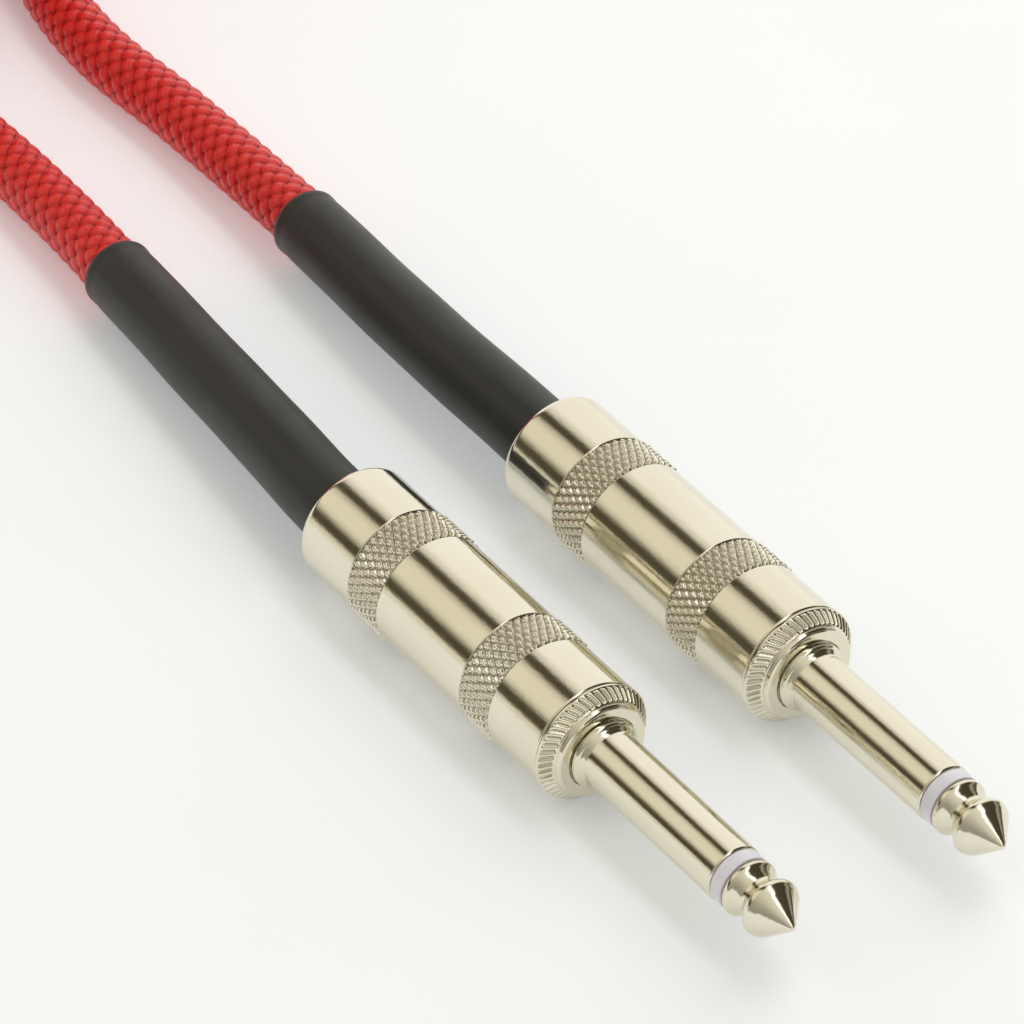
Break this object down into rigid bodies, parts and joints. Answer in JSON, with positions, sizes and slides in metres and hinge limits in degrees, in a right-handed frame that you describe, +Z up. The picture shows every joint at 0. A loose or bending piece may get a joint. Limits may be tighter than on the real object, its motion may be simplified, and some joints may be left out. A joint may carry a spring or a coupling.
{
  "type": "instrument cable",
  "caption": "Braided instrument cable with straight quarter-inch plugs, heat-shrink strain reliefs and screw-off knurled handles, its spare length in a tied hank.",
  "frame": {"origin": "on the floor below the middle of the two plugs", "axes": "+Z up, tips point to -Y, the cable leaves to +Y, plug_a at -X and plug_b at +X"},
  "size_m": [0.0586, 0.3114, 0.0347],
  "materials": {
    "nickel": "polished warm nickel plate",
    "white_plastic": "satin white",
    "fibre": "matte brown fibre",
    "tinned": "tinned, satin",
    "liner": "matte black",
    "core_plastic": "smooth",
    "copper": "bare strands",
    "solder": "bright",
    "jacket": "matte black",
    "braid": "glossy woven yarn",
    "strap": "woven black strap",
    "heat_shrink": "matte black"
  },
  "bodies": {
    "cable": {"plug_a_tip": "nickel", "plug_a_tip_ring": "white_plastic", "plug_a_rod_tube": "white_plastic", "plug_a_shaft": "nickel", "plug_a_collar": "nickel", "plug_a_washer": "fibre", "plug_a_ground_terminal": "tinned", "plug_a_tip_lug": "tinned", "plug_a_core": "core_plastic", "plug_a_conductor": "copper", "plug_a_screen": "copper", "plug_a_tip_solder": "solder", "plug_a_ground_solder": "solder", "plug_a_jacket": "jacket", "plug_a_cover": "braid", "plug_a_shrink": "heat_shrink", "plug_b_tip": "nickel", "plug_b_tip_ring": "white_plastic", "plug_b_rod_tube": "white_plastic", "plug_b_shaft": "nickel", "plug_b_collar": "nickel", "plug_b_washer": "fibre", "plug_b_ground_terminal": "tinned", "plug_b_tip_lug": "tinned", "plug_b_core": "core_plastic", "plug_b_conductor": "copper", "plug_b_screen": "copper", "plug_b_tip_solder": "solder", "plug_b_ground_solder": "solder", "plug_b_jacket": "jacket", "plug_b_cover": "braid", "plug_b_shrink": "heat_shrink", "cord_a": "braid", "cord_b": "braid", "cord_hank": "braid", "hank_tie": "strap"},
    "liner_a": {"plug_a_liner": "liner"},
    "handle_a": {"plug_a_handle": "nickel"},
    "liner_b": {"plug_b_liner": "liner"},
    "handle_b": {"plug_b_handle": "nickel"}
  },
  "joints": [
    {"name": "handle_a_travel", "type": "slide", "parent": "cable", "child": "liner_a", "axis": [0, 1, 0], "range_m": [0, 0.00635]},
    {"name": "handle_a_turn", "type": "hinge", "parent": "liner_a", "child": "handle_a", "pos_m": [-0.01168, -0.02812, 0.0067], "axis": [0, 1, 0], "range_deg": [0, 2160]},
    {"name": "handle_b_travel", "type": "slide", "parent": "cable", "child": "liner_b", "axis": [0, 1, 0], "range_m": [0, 0.00635]},
    {"name": "handle_b_turn", "type": "hinge", "parent": "liner_b", "child": "handle_b", "pos_m": [0.01168, -0.03042, 0.0067], "axis": [0, 1, 0], "range_deg": [0, 2160]}
  ],
  "couplings": [
    {"joint": "handle_a_turn", "follows": "handle_a_travel", "rad_per_m": 5936.9},
    {"joint": "handle_b_turn", "follows": "handle_b_travel", "rad_per_m": 5936.9}
  ]
}
